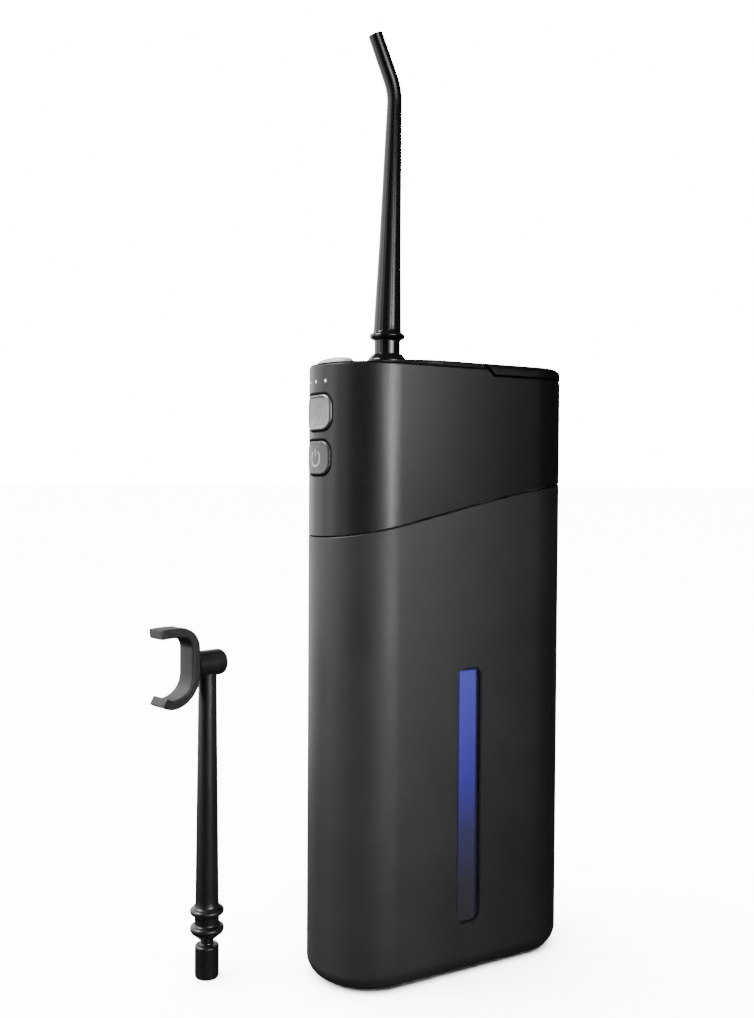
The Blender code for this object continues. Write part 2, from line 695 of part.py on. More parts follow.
def spare_stem(look, tool_look):
    profile = [
        (2.6, 0.0), (2.95, 0.4), (2.95, 7.7), (2.7, 8.0), (1.5, 8.1), (1.5, 8.9),
        (2.2, 9.7), (3.9, 11.1), (4.15, 11.6), (4.15, 12.3), (3.9, 12.7), (3.0, 13.0),
        (3.0, 15.2), (4.15, 15.8), (4.15, 16.8), (3.0, 17.4), (2.85, 18.8), (2.25, 72.9), (2.25, 77.0),
    ]
    stem = turned("spare_stem", profile, look, (SPARE_X, SPARE_Y), 20)
    length = BARREL_RIGHT - BARREL_LEFT
    radii = [(0.0, BARREL_R), (length - 1.3, BARREL_R), (length - 0.4, BARREL_R - 0.8), (length, 1.4)]
    start, stop = along_barrel(BARREL_LEFT, 0.0, BARREL_Z), along_barrel(BARREL_RIGHT, 0.0, BARREL_Z)
    barrel = rod_along("join_spare_barrel", start, stop, radii, tool_look, 16)
    apply_tool(stem, barrel, "UNION")


def fork_path():
    """Centre line of the fork in its own plane, as (distance along the barrel, height)."""
    back, low, high = -5.1, 68.5, 85.4
    lower = [(-14.1, low + 1.0), (-12.6, low + 0.25)]
    upper = [(-10.0, high), (-12.4, high), (-14.7, high - 0.15)]
    start = arc((back - FORK_LOW_R, low + FORK_LOW_R), FORK_LOW_R, -90.0, 0.0, 6)
    end = arc((back - FORK_HIGH_R, high - FORK_HIGH_R), FORK_HIGH_R, 0.0, 90.0, 6)
    return lower + start + end + upper


def spare_fork(look):
    path = fork_path()
    rings = []
    for i, (distance, z) in enumerate(path):
        before, after = path[max(i - 1, 0)], path[min(i + 1, len(path) - 1)]
        heading = Vector((after[0] - before[0], after[1] - before[1])).normalized()
        normal = Vector((-heading.y, heading.x))
        ring = []
        for across, side in rounded_box(FORK_HALF_BAND, FORK_HALF_WIDTH, 0.5, 2):
            u = distance + normal.x * across
            ring.append(along_barrel(u, side, z + normal.y * across))
        rings.append(ring)
    loft("spare_fork", rings, look, (SPARE_X, SPARE_Y, 0.0))


def build():
    clear_scene()
    tool_look = material("tool", (0.8, 0.2, 0.2), 0.5)
    charcoal = material("sleeve_plastic", (0.045, 0.046, 0.05), 0.5)
    satin = material("housing_plastic", (0.03, 0.03, 0.033), 0.36)
    gloss = material("gloss_black", (0.008, 0.008, 0.009), 0.14)
    blue = material("window_blue", (0.05, 0.07, 0.42), 0.2, alpha=0.9)
    clear_blue = material("tank_clear", (0.35, 0.45, 0.75), 0.1, alpha=0.35)
    rubber = material("soft_rubber", (0.02, 0.02, 0.02), 0.7)
    silver = material("silver_plastic", (0.62, 0.62, 0.63), 0.3, 0.4)
    grey_button = material("button_metal", (0.2, 0.2, 0.21), 0.35, 0.7)
    white_lens = material("indicator_white", (0.9, 0.9, 0.9), 0.3)
    nylon = material("inner_nylon", (0.75, 0.75, 0.73), 0.5)
    steel = material("bright_steel", (0.6, 0.6, 0.62), 0.25, 1.0)
    board = material("board_green", (0.02, 0.18, 0.07), 0.5)
    cell = material("cell_wrap", (0.05, 0.2, 0.45), 0.35)
    fork_grey = material("fork_soft", (0.05, 0.05, 0.055), 0.5)

    tank_sleeve(charcoal, tool_look)
    window_lens(blue)
    water_tank(clear_blue)
    base_foot(rubber)

    head_housing(satin, tool_look)
    deck_cover(gloss, tool_look)
    chassis(nylon, tool_look)
    tank_seal(rubber)
    store_cup(nylon, tool_look)
    for index in (-1, 0, 1):
        indicator("indicator_" + str(index + 2), index, INDICATOR_R, -1.7, 0.05, white_lens)

    battery_cell(cell)
    motor_can(steel)
    gear_plate(nylon, tool_look)
    pump_cylinder(nylon, tool_look)
    valves(nylon)
    nozzle_socket(nylon)
    circuit_board(board)
    switches(steel)
    usb_port(steel)
    latch_bracket(nylon)
    release_spring(steel)
    suction_line(nylon, rubber)

    push_button("power_button", POWER, grey_button)
    push_button("mode_button", MODE, grey_button)
    release_button(silver)
    swivel_collar(gloss)
    jet_nozzle(gloss)
    lid(gloss, tool_look)
    port_cover(rubber, tool_look)
    pump_drive(steel, nylon)
    piston_and_rod(steel, nylon, tool_look)

    spare_stem(gloss, tool_look)
    spare_fork(fork_grey)


build()
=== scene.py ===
"""Looks for the cordless water flosser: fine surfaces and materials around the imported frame."""

import json
import math

import bmesh
import bpy
from mathutils import Matrix, Vector

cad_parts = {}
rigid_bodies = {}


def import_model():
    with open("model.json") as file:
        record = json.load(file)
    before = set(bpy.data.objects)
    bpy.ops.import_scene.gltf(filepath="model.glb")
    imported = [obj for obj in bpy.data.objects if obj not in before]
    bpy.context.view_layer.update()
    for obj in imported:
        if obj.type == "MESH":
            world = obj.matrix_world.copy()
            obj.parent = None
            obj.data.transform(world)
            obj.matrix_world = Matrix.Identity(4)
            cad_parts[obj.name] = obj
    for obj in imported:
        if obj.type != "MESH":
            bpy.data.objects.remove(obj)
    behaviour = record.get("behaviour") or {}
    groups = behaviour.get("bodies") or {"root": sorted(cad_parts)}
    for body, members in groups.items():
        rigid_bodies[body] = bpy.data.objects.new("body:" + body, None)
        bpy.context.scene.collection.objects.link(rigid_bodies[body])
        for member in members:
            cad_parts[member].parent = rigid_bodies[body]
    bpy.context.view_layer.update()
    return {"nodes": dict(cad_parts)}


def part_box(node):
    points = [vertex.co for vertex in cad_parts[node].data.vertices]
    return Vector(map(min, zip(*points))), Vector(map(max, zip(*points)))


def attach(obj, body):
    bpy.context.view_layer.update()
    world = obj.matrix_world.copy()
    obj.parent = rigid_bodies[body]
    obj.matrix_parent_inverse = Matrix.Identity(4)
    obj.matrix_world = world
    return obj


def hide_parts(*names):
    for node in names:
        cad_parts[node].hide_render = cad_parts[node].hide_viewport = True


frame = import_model()

MM = 0.001


def span(node):
    """Lowest and highest corners of a CAD node, in millimetres."""
    low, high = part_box(node)
    return low / MM, high / MM


# ---------------------------------------------------------------- sizes read from the frame

SLEEVE_LOW, SLEEVE_HIGH = span("tank_sleeve")
BODY_R = SLEEVE_HIGH.y
END_X = SLEEVE_HIGH.x - BODY_R
BASE_Z = SLEEVE_LOW.z
RIM_Z = span("head_housing")[1].z
DECK_Z = span("deck_cover")[1].z
LENS_LOW, LENS_HIGH = span("window_lens")
RELEASE_LOW, RELEASE_HIGH = span("release_button")
RELEASE_X = (RELEASE_LOW.x + RELEASE_HIGH.x) / 2
SWIVEL_LOW, SWIVEL_HIGH = span("swivel_collar")
NOZZLE_X = (SWIVEL_LOW.x + SWIVEL_HIGH.x) / 2

# Sizes shared with the CAD part, in millimetres.
WALL = 1.8
GAP = 0.3
BASE_ROUND = 4.3
FOOT_INSET = 5.3
SEAM = (115.5, 0.228, -0.00069, -0.0000321)     # height of the parting line, a cubic in x
WINDOW = {"half": 3.5, "low": 12.9, "high": 76.2}
SHELF_Z = 149.4
PLATFORM_X, PLATFORM_R = -7.2, 13.9
LID_SEAT_Z = 147.5
LID_LOW = 147.8
LID_LEFT = 6.9
LID_SLANT = 0.95                # how far the lid's end leans back for each step up
LID_GAP = 0.5
LID_ROUND = 1.4
HINGE_X, HINGE_Z, HINGE_R, HINGE_HALF = 34.0, 147.7, 0.65, 3.2
HINGE_SEAT_Z = 146.4
HINGE_NOTCH = (31.5, 32.4)
SWIVEL_BORE = 3.4
SWIVEL_SKIRT_R = 4.0
INDICATOR_PITCH = 3.9
INDICATOR_Z = 145.1
BUTTON_CORNER = 2.7
BUTTON_BACK_X = -31.6
PORT_BOX = (4.8, 1.9, 1.6)      # half width, half height and corner of the charge port
POCKET_FLOOR_Y, POCKET_CORNER = 14.1, 1.4
SPARE_X, SPARE_Y, SPARE_TURN = -56.2, 15.6, 14.0
BARREL_Z, BARREL_R, BARREL_RIGHT = 77.0, 3.2, 4.4
FORK_HALF_BAND, FORK_HALF_WIDTH = 1.15, 3.0
FORK_LOW_R, FORK_HIGH_R = 6.6, 4.2
FORK_BACK, FORK_LOW_Z, FORK_HIGH_Z = -5.1, 68.5, 85.4

# Sizes of the fine surface, in millimetres.
SEAM_HALF_GAP = 0.15
SLEEVE_LIP = 0.26
HOUSING_LIP = 0.14
RIM_ROUND = 0.35
FOOT_RECESS = 0.8
INNER_CORNER = ((0.0, 5.0), (2.4, 2.3))         # inset from the wall and height, down to the floor
SLOT_EDGE = 0.35                # chamfer round the window's slot
SLOT_CORNER = 2.2
SLOT_BACK_Y = -11.0
LENS_EDGE = 0.12
LENS_CORNER = 1.9
FLANGE_GAP = 0.15               # gap between the deck's flange and the rim
PLATFORM_ROUND = 0.25
POCKET_EDGE = (0.35, 0.7)       # clearance of the flap's pocket, below and at its chamfer
HOLE_EDGE = (0.35, 0.6)         # the same for the deck's button hole
BORE_R = (4.3, 4.6)             # and for its nozzle bore, as radii
LID_EDGE = 0.2
INDICATOR_R = 0.42
BUTTON_PROUD = 0.25
BUTTON_EDGE = 0.45
JET_BEND_Z, JET_BEND_R, JET_LEAN, JET_TOP_Z = 215.2, 14.0, 24.0, 230.8
BARREL_LEFT = -4.0              # the barrel runs on until it touches the fork
BARREL_ROUND = 1.3

LED_GLOW = 1.0
# Strength of the window's painted glow: it emits light though the window is no lamp.
PAINTED_WINDOW_GLOW = 0.68

# Painted glow of the blue window from bottom (0) to top (1), and the painted shadow of the slot's edge on
# its top and sides, from edge to clear.
PAINTED_WINDOW_FADE = (
    (0.0, (0.026, 0.026, 0.032)), (0.16, (0.030, 0.030, 0.042)), (0.36, (0.036, 0.034, 0.105)),
    (0.56, (0.046, 0.036, 0.290)), (0.80, (0.064, 0.052, 0.390)), (1.0, (0.070, 0.072, 0.430)),
)
# Painted shadow of the slot's edge on the lens: where it fades out, and its dark colour.
PAINTED_SLOT_SHADOW = (0.55, 0.95)
PAINTED_SLOT_SHADOW_COLOUR = (0.012, 0.0125, 0.03)

ARC_STEPS = 72
FLANK_STEP = 1.6

# Studio: azimuth in degrees from +X, watts, then a box's width or a grid's spread in degrees.
SIDE_BOXES = (
    (100, 4.4, 0.55), (132, 3.4, 0.5), (163, 3.2, 0.45),
    (190, 0.9, 0.3), (254, 0.7, 0.3), (66, 1.6, 0.5),
)
GRID_BOXES = ((264, 0.036, 28), (278, 0.029, 26), (286, 0.036, 22), (294, 0.010, 20))
HIGH_BOX = (160, 14.0)
JET_STRIP = (277, 0.022, 18)
GRID_AIM = (-0.075, -0.015, 0.088)
JET_AIM = (-0.02, 0.0, 0.2)
FLOOR_WASH = 48.0
BACKDROP = 20.0
AMBIENT = 0.022

# Camera: turn about Z, downward tilt and roll in radians, lens, and place in metres.
CAMERA_YAW, CAMERA_PITCH, CAMERA_ROLL = 0.5217, 0.0236, 0.0063
CAMERA_FOCAL = 1.05943          # focal length as a share of the frame's longer side
CAMERA_PLACE = (-0.15097, -0.23149, 0.12087)


# ---------------------------------------------------------------- outlines

def seam_z(x):
    return SEAM[0] + SEAM[1] * x + SEAM[2] * x**2 + SEAM[3] * x**3


def seat_z(x):
    """Top edge of the housing: deck rim, slanted step, lid seat, hinge notch."""
    step = LID_LEFT - LID_GAP
    start = step - (RIM_Z - LID_SEAT_Z) * LID_SLANT
    if x <= start:
        return RIM_Z
    if x < step:
        return RIM_Z - (x - start) / LID_SLANT
    if x < HINGE_NOTCH[0]:
        return LID_SEAT_Z
    share = min((x - HINGE_NOTCH[0]) / (HINGE_NOTCH[1] - HINGE_NOTCH[0]), 1.0)
    return LID_SEAT_Z + share * (HINGE_SEAT_Z - LID_SEAT_Z)


def slant_x(z, gap=0.0):
    return LID_LEFT - gap - (z - LID_LOW) * LID_SLANT


def arc(centre, radius, start, stop, steps):
    points = []
    for i in range(steps + 1):
        angle = math.radians(start + (stop - start) * i / steps)
        points.append((centre[0] + radius * math.cos(angle), centre[1] + radius * math.sin(angle)))
    return points


def circle(radius, steps=48, centre=(0.0, 0.0)):
    return arc(centre, radius, 0.0, 360.0, steps)[:-1]


def flank(low, high):
    """Even stations along a flat, with exact ones where the housing's top edge turns."""
    step = LID_LEFT - LID_GAP
    turns = [step - (RIM_Z - LID_SEAT_Z) * LID_SLANT, step]
    count = int((high - low) / FLANK_STEP)
    even = [low + (high - low) * (i + 1) / (count + 1) for i in range(count)]
    return sorted([x for x in even if min(abs(x - t) for t in turns) > 0.5] + turns)


def stadium(inset, steps=ARC_STEPS):
    r = BODY_R - inset
    stations = flank(-END_X, END_X)
    right = arc((END_X, 0.0), r, -90.0, 90.0, steps)
    left = arc((-END_X, 0.0), r, 90.0, 270.0, steps)
    return right + [(x, r) for x in reversed(stations)] + left + [(x, -r) for x in stations]


def rounded_box(half_x, half_y, radius, steps=8):
    points = []
    for sx, sy, start in ((1, -1, -90), (1, 1, 0), (-1, 1, 90), (-1, -1, 180)):
        centre = (sx * (half_x - radius), sy * (half_y - radius))
        points += arc(centre, radius, start, start + 90, steps)
    return points


def level(outline, z):
    return [(x, y, z(x) if callable(z) else z) for x, y in outline]


def quarter(r, steps=6):
    """(run, rise) pairs along a quarter round of radius r, from its side up to its top."""
    turns = [math.pi / 2 * i / steps for i in range(steps + 1)]
    return [(r * (1 - math.cos(t)), r * math.sin(t)) for t in turns]


# ---------------------------------------------------------------- meshes

def piece(name, verts, faces, look, body, *nodes, sharp=38.0):
    mesh = bpy.data.meshes.new(name)
    mesh.from_pydata([Vector(v) * MM for v in verts], [], faces)
    work = bmesh.new()
    work.from_mesh(mesh)
    bmesh.ops.recalc_face_normals(work, faces=work.faces)
    work.to_mesh(mesh)
    work.free()
    if look:
        mesh.materials.append(look)
    mesh.shade_smooth()
    mesh.set_sharp_from_angle(angle=math.radians(sharp))
    made = bpy.data.objects.new(name, mesh)
    bpy.context.scene.collection.objects.link(made)
    if body:
        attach(made, body)
    if nodes:
        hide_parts(*nodes)
    return made


def skin(rings, closed=False):
    """Vertices and faces through equal-sized rings, capped unless the section closes on itself."""
    count = len(rings[0])
    verts = [point for ring in rings for point in ring]
    faces = []
    for k in range(len(rings) if closed else len(rings) - 1):
        low = k * count
        high = ((k + 1) % len(rings)) * count
        for i in range(count):
            j = (i + 1) % count
            faces.append((low + i, low + j, high + j, high + i))
    if not closed:
        faces.append(tuple(reversed(range(count))))
        faces.append(tuple(range((len(rings) - 1) * count, len(rings) * count)))
    return verts, faces


def loft(name, rings, look, body, *nodes, closed=False, sharp=38.0):
    verts, faces = skin(rings, closed)
    return piece(name, verts, faces, look, body, *nodes, sharp=sharp)


def turned(name, profile, look, body, *nodes, centre=(0.0, 0.0), steps=48, closed=False):
    rings = [level(circle(r, steps, centre), z) for r, z in profile]
    return loft(name, rings, look, body, *nodes, closed=closed)


def even_normals():
    """Let the large faces of each new piece set its shading, so long flats stay flat."""
    for made in bpy.data.objects:
        if made.type == "MESH" and made.name not in frame["nodes"] and made.name != "floor":
            step = made.modifiers.new("even_normals", "WEIGHTED_NORMAL")
            step.keep_sharp = True
            step.weight = 80


def cut(target, rings_list, operation="DIFFERENCE"):
    """Boolean each lofted tool with target and keep the result as plain mesh."""
    tools = []
    for rings in rings_list:
        tool = piece("tool", *skin(rings), None, None)
        step = target.modifiers.new("cut", "BOOLEAN")
        step.operation = operation
        step.solver = "EXACT"
        step.object = tool
        tools.append(tool)
    bpy.context.view_layer.update()
    graph = bpy.context.evaluated_depsgraph_get()
    result = bpy.data.meshes.new_from_object(target.evaluated_get(graph))
    target.modifiers.clear()
    looks = [m for m in target.data.materials if m]
    target.data = result
    result.materials.clear()
    for look in looks:
        result.materials.append(look)
    result.set_sharp_from_angle(angle=math.radians(38.0))
    for tool in tools:
        bpy.data.objects.remove(tool)


# ---------------------------------------------------------------- materials

def nodes_of(look):
    return look.node_tree.nodes, look.node_tree.links


def add_noise(look, coords, scale, detail=3.0, rough=0.5):
    nodes, links = nodes_of(look)
    noise = nodes.new("ShaderNodeTexNoise")
    noise.inputs["Scale"].default_value = scale
    noise.inputs["Detail"].default_value = detail
    noise.inputs["Roughness"].default_value = rough
    links.new(coords, noise.inputs["Vector"])
    return noise.outputs["Fac"]


def add_range(look, value, low, high, from_low=0.3, from_high=0.7):
    nodes, links = nodes_of(look)
    mapped = nodes.new("ShaderNodeMapRange")
    mapped.inputs["From Min"].default_value = from_low
    mapped.inputs["From Max"].default_value = from_high
    mapped.inputs["To Min"].default_value = low
    mapped.inputs["To Max"].default_value = high
    links.new(value, mapped.inputs["Value"])
    return mapped.outputs["Result"]


def add_mix(look, factor, first, second):
    nodes, links = nodes_of(look)
    mix = nodes.new("ShaderNodeMix")
    mix.data_type = "RGBA"
    for socket, value in ((mix.inputs["A"], first), (mix.inputs["B"], second)):
        if isinstance(value, tuple):
            socket.default_value = (*value, 1.0)
        else:
            links.new(value, socket)
    links.new(factor, mix.inputs["Factor"])
    return mix.outputs["Result"]


def add_math(look, operation, first, second=None):
    nodes, links = nodes_of(look)
    step = nodes.new("ShaderNodeMath")
    step.operation = operation
    for socket, value in zip(step.inputs, (first, second)):
        if isinstance(value, float):
            socket.default_value = value
        elif value is not None:
            links.new(value, socket)
    return step.outputs["Value"]


def surface(name, colour, second, rough, grain=1800.0, depth=0.02, metallic=0.0, specular=0.5,
            coat=0.0, coat_rough=0.1, stretch=(1.0, 1.0, 1.0), spread=0.05):
    """A moulded or metal surface: cloudy two-tone colour, uneven gloss and a fine grain bump."""
    look = bpy.data.materials.new(name)
    look.use_nodes = True
    nodes, links = nodes_of(look)
    shader = nodes["Principled BSDF"]
    place = nodes.new("ShaderNodeTexCoord")
    mapping = nodes.new("ShaderNodeMapping")
    mapping.inputs["Scale"].default_value = stretch
    links.new(place.outputs["Object"], mapping.inputs["Vector"])
    coords = mapping.outputs["Vector"]
    cloud = add_noise(look, coords, 55.0, 4.0)
    fine = add_noise(look, coords, grain, 2.0, 0.6)
    tint = add_mix(look, add_range(look, cloud, 0.0, 1.0), colour, second)
    links.new(tint, shader.inputs["Base Color"])
    gloss = add_range(look, cloud, rough - spread, rough + spread)
    links.new(gloss, shader.inputs["Roughness"])
    bump = nodes.new("ShaderNodeBump")
    bump.inputs["Strength"].default_value = 1.0
    bump.inputs["Distance"].default_value = depth * MM
    links.new(fine, bump.inputs["Height"])
    links.new(bump.outputs["Normal"], shader.inputs["Normal"])
    shader.inputs["Metallic"].default_value = metallic
    shader.inputs["Specular IOR Level"].default_value = specular
    shader.inputs["Coat Weight"].default_value = coat
    shader.inputs["Coat Roughness"].default_value = coat_rough
    return look


def window_look():
    """Blue window with a painted glow: emission makes it shine, brightest at the top and fading to dark
    grey, with a painted shadow of the slot's edge as a dark border on its top and sides.
    """
    look = surface("window_blue", (0.05, 0.06, 0.3), (0.05, 0.065, 0.32), 0.42, grain=900.0,
                   depth=0.001, specular=0.3)
    nodes, links = nodes_of(look)
    shader = nodes["Principled BSDF"]
    place = nodes.new("ShaderNodeTexCoord")
    split = nodes.new("ShaderNodeSeparateXYZ")
    links.new(place.outputs["Object"], split.inputs["Vector"])
    # Painted glow: this ramp colours the window and its emission, brightest at the top and dark grey at the
    # bottom.
    ramp = nodes.new("ShaderNodeValToRGB")
    ramp.color_ramp.elements[0].color = (*PAINTED_WINDOW_FADE[0][1], 1.0)
    ramp.color_ramp.elements[1].color = (*PAINTED_WINDOW_FADE[-1][1], 1.0)
    for position, colour in PAINTED_WINDOW_FADE[1:-1]:
        ramp.color_ramp.elements.new(position).color = (*colour, 1.0)
    height = add_range(look, split.outputs["Z"], 0.0, 1.0, LENS_LOW.z * MM, LENS_HIGH.z * MM)
    links.new(height, ramp.inputs["Fac"])
    # Painted shadow: darken the lens near its top and side edges, where the slot's edge shades it.
    side = add_math(look, "SUBTRACT", LENS_HIGH.x * MM, add_math(look, "ABSOLUTE", split.outputs["X"]))
    above = add_math(look, "SUBTRACT", LENS_HIGH.z * MM, split.outputs["Z"])
    edge = add_math(look, "MINIMUM", side, above)
    shown = add_range(look, edge, 0.0, 1.0, PAINTED_SLOT_SHADOW[0] * MM, PAINTED_SLOT_SHADOW[1] * MM)
    colour = add_mix(look, shown, PAINTED_SLOT_SHADOW_COLOUR, ramp.outputs["Color"])
    links.new(colour, shader.inputs["Base Color"])
    # Painted glow: the window emits its own colour though nothing behind it is a lamp.
    links.new(colour, shader.inputs["Emission Color"])
    shader.inputs["Emission Strength"].default_value = PAINTED_WINDOW_GLOW
    return look


def glow(name, colour, strength):
    look = surface(name, colour, tuple(c * 0.9 for c in colour), 0.4, grain=3000.0, depth=0.002)
    shader = look.node_tree.nodes["Principled BSDF"]
    shader.inputs["Emission Color"].default_value = (*colour, 1.0)
    shader.inputs["Emission Strength"].default_value = strength
    return look


def clear_look():
    look = surface("tank_clear", (0.32, 0.42, 0.75), (0.36, 0.47, 0.8), 0.12, grain=400.0, depth=0.01)
    shader = look.node_tree.nodes["Principled BSDF"]
    shader.inputs["Alpha"].default_value = 0.35
    return look


LOOKS = {
    "sleeve": surface("sleeve_plastic", (0.038, 0.0385, 0.0405), (0.045, 0.0455, 0.0475), 0.45,
                      grain=1500.0, depth=0.006, specular=0.62),
    "housing": surface("housing_plastic", (0.019, 0.019, 0.0205), (0.023, 0.023, 0.025), 0.31,
                       grain=1500.0, depth=0.0015, specular=0.5, spread=0.015),
    "deck": surface("deck_black", (0.006, 0.006, 0.007), (0.009, 0.009, 0.010), 0.5,
                    grain=1500.0, depth=0.004, specular=0.3),
    "gloss": surface("gloss_black", (0.008, 0.008, 0.009), (0.012, 0.012, 0.013), 0.15,
                     grain=900.0, depth=0.002, spread=0.03, coat=0.3, coat_rough=0.1),
    "spare": surface("satin_black", (0.012, 0.012, 0.013), (0.017, 0.017, 0.018), 0.3,
                     grain=900.0, depth=0.002, specular=0.8, spread=0.03),
    "lid": surface("lid_black", (0.012, 0.012, 0.013), (0.016, 0.016, 0.017), 0.33,
                   grain=4200.0, depth=0.01),
    "silver": surface("silver_button", (0.84, 0.84, 0.85), (0.9, 0.9, 0.9), 0.36, grain=1500.0,
                      depth=0.003, metallic=0.15, stretch=(1.0, 0.08, 1.0)),
    "button": surface("metal_button", (0.26, 0.26, 0.268), (0.31, 0.31, 0.318), 0.36, grain=1500.0,
                      depth=0.003, metallic=0.8, stretch=(1.0, 0.1, 1.0)),
    "button_dark": surface("dark_button", (0.11, 0.11, 0.115), (0.14, 0.14, 0.146), 0.38,
                           grain=1500.0, depth=0.003, metallic=0.6, stretch=(1.0, 0.1, 1.0)),
    "icon": surface("icon_white", (0.72, 0.72, 0.72), (0.8, 0.8, 0.8), 0.4, grain=4000.0),
    "icon_faint": surface("icon_grey", (0.3, 0.3, 0.31), (0.36, 0.36, 0.37), 0.4, grain=4000.0),
    "rubber": surface("soft_rubber", (0.014, 0.014, 0.014), (0.022, 0.022, 0.022), 0.68,
                      grain=2600.0, depth=0.04),
    "fork": surface("fork_soft", (0.030, 0.030, 0.032), (0.038, 0.038, 0.041), 0.42,
                    grain=3000.0, depth=0.02),
    "nylon": surface("inner_nylon", (0.66, 0.66, 0.63), (0.72, 0.72, 0.69), 0.5,
                     grain=2000.0, depth=0.02),
    "steel": surface("bright_steel", (0.55, 0.55, 0.57), (0.62, 0.62, 0.64), 0.26, grain=2400.0,
                     depth=0.008, metallic=1.0, stretch=(1.0, 1.0, 0.06)),
    "board": surface("board_green", (0.01, 0.13, 0.05), (0.02, 0.2, 0.08), 0.4, grain=1500.0,
                     depth=0.04),
    "cell": surface("cell_wrap", (0.03, 0.14, 0.36), (0.04, 0.18, 0.42), 0.3, grain=900.0,
                    depth=0.02),
    "led": glow("indicator_glow", (0.9, 0.92, 0.95), LED_GLOW),
    "window": window_look(),
    "clear": clear_look(),
}

NODE_LOOKS = {
    "nylon": ["inner_chassis", "store_cup", "gear_plate", "pump_cylinder", "inlet_valve",
              "inlet_manifold", "outlet_valve", "nozzle_socket", "latch_bracket", "suction_tube",
              "crank_gear", "piston"],
    "steel": ["motor_can", "switch_power", "switch_mode", "usb_port", "release_spring", "pinion",
              "connecting_rod"],
    "rubber": ["base_foot", "tank_seal", "intake_filter", "port_cover"],
    "board": ["circuit_board"],
    "cell": ["battery_cell"],
    "clear": ["water_tank"],
}


def paint_nodes():
    for key, names in NODE_LOOKS.items():
        for name in names:
            frame["nodes"][name].material_slots[0].material = LOOKS[key]


# ---------------------------------------------------------------- tank sleeve and window

def sleeve():
    foot = stadium(FOOT_INSET - GAP)
    rings = [level(foot, BASE_Z + FOOT_RECESS), level(foot, BASE_Z)]
    for run, rise in quarter(BASE_ROUND, 14):
        rings.append(level(stadium(BASE_ROUND - rise), BASE_Z + run))
    for run, rise in quarter(SLEEVE_LIP, 4):
        drop = SEAM_HALF_GAP + SLEEVE_LIP - rise
        rings.append(level(stadium(run), lambda x, drop=drop: seam_z(x) - drop))
    rings.append(level(stadium(WALL), lambda x: seam_z(x) - SEAM_HALF_GAP))
    for inset, z in INNER_CORNER:
        rings.append(level(stadium(WALL + inset), z))
    made = loft("sleeve_shell", rings, LOOKS["sleeve"], "tank", "tank_sleeve")
    middle = (WINDOW["high"] + WINDOW["low"]) / 2
    half_x = WINDOW["half"] - GAP
    half_z = (WINDOW["high"] - WINDOW["low"]) / 2 - GAP
    front = -BODY_R
    depths = ((front - 1.0, SLOT_EDGE), (front, SLOT_EDGE), (front + SLOT_EDGE, 0.0), (SLOT_BACK_Y, 0.0))
    slot = []
    for y, grow in depths:
        outline = rounded_box(half_x + grow, half_z + grow, SLOT_CORNER + grow)
        slot.append([(x, y, z + middle) for x, z in outline])
    cut(made, [slot])
    lens_rings = []
    half_z = (LENS_HIGH.z - LENS_LOW.z) / 2
    for y, shrink in ((LENS_HIGH.y, 0.0), (LENS_LOW.y + LENS_EDGE, 0.0), (LENS_LOW.y, LENS_EDGE)):
        outline = rounded_box(LENS_HIGH.x - shrink, half_z - shrink, LENS_CORNER)
        lens_rings.append([(x, y, z + middle) for x, z in outline])
    loft("window_pane", lens_rings, LOOKS["window"], "tank", "window_lens")


# ---------------------------------------------------------------- head housing

def end_x(y, proud=0.0):
    """The round end's surface at y, on the button side."""
    return -END_X - math.sqrt((BODY_R + proud)**2 - y**2)


def button_facts(node):
    low, high = span(node)
    return {"z": (low.z + high.z) / 2, "half_y": high.y, "half_z": (high.z - low.z) / 2}


POWER = {**button_facts("power_button"), "dish": 0.25}
MODE = {**button_facts("mode_button"), "dish": 0.9}


def button_outline(button, grow):
    outline = rounded_box(button["half_z"] + grow, button["half_y"] + grow, BUTTON_CORNER + grow)
    return [(y, button["z"] + z) for z, y in outline]


def aperture(button):
    rings = []
    for depth, grow in ((-1.5, 0.6), (0.0, 0.6), (0.3, 0.3), (6.0, 0.3)):
        rings.append([(end_x(y) + depth, y, z) for y, z in button_outline(button, grow)])
    return rings


def radial_rings(index, pairs):
    """Rings of a small pin through the round end at an indicator; pairs are (reach, radius)."""
    angle = math.pi + index * INDICATOR_PITCH / BODY_R
    out = Vector((math.cos(angle), math.sin(angle), 0.0))
    turn = Vector((0, 0, 1)).rotation_difference(out).to_matrix()
    centre = Vector((-END_X, 0.0, INDICATOR_Z))
    rings = []
    for reach, radius in pairs:
        base = centre + out * (BODY_R + reach)
        rings.append([base + turn @ Vector((x, y, 0.0)) for x, y in circle(radius, 20)])
    return rings


def flap_pocket():
    """The chamfered recess in the rear face round the charge port's flap."""
    low, high = span("port_cover")
    middle, half_z = (low.z + high.z) / 2, (high.z - low.z) / 2
    neat, wide = POCKET_EDGE
    rings = []
    for y, grow in ((17.0, wide), (BODY_R, wide), (BODY_R - wide + neat, neat), (POCKET_FLOOR_Y, neat)):
        outline = rounded_box(high.x + grow, half_z + grow, POCKET_CORNER + grow)
        rings.append([(x, y, z + middle) for x, z in outline])
    return rings


def port_hole():
    low, high = span("usb_port")
    middle = (low.z + high.z) / 2
    outline = rounded_box(*PORT_BOX)
    return [[(x, y, z + middle) for x, z in outline] for y in (16.0, 12.0)]


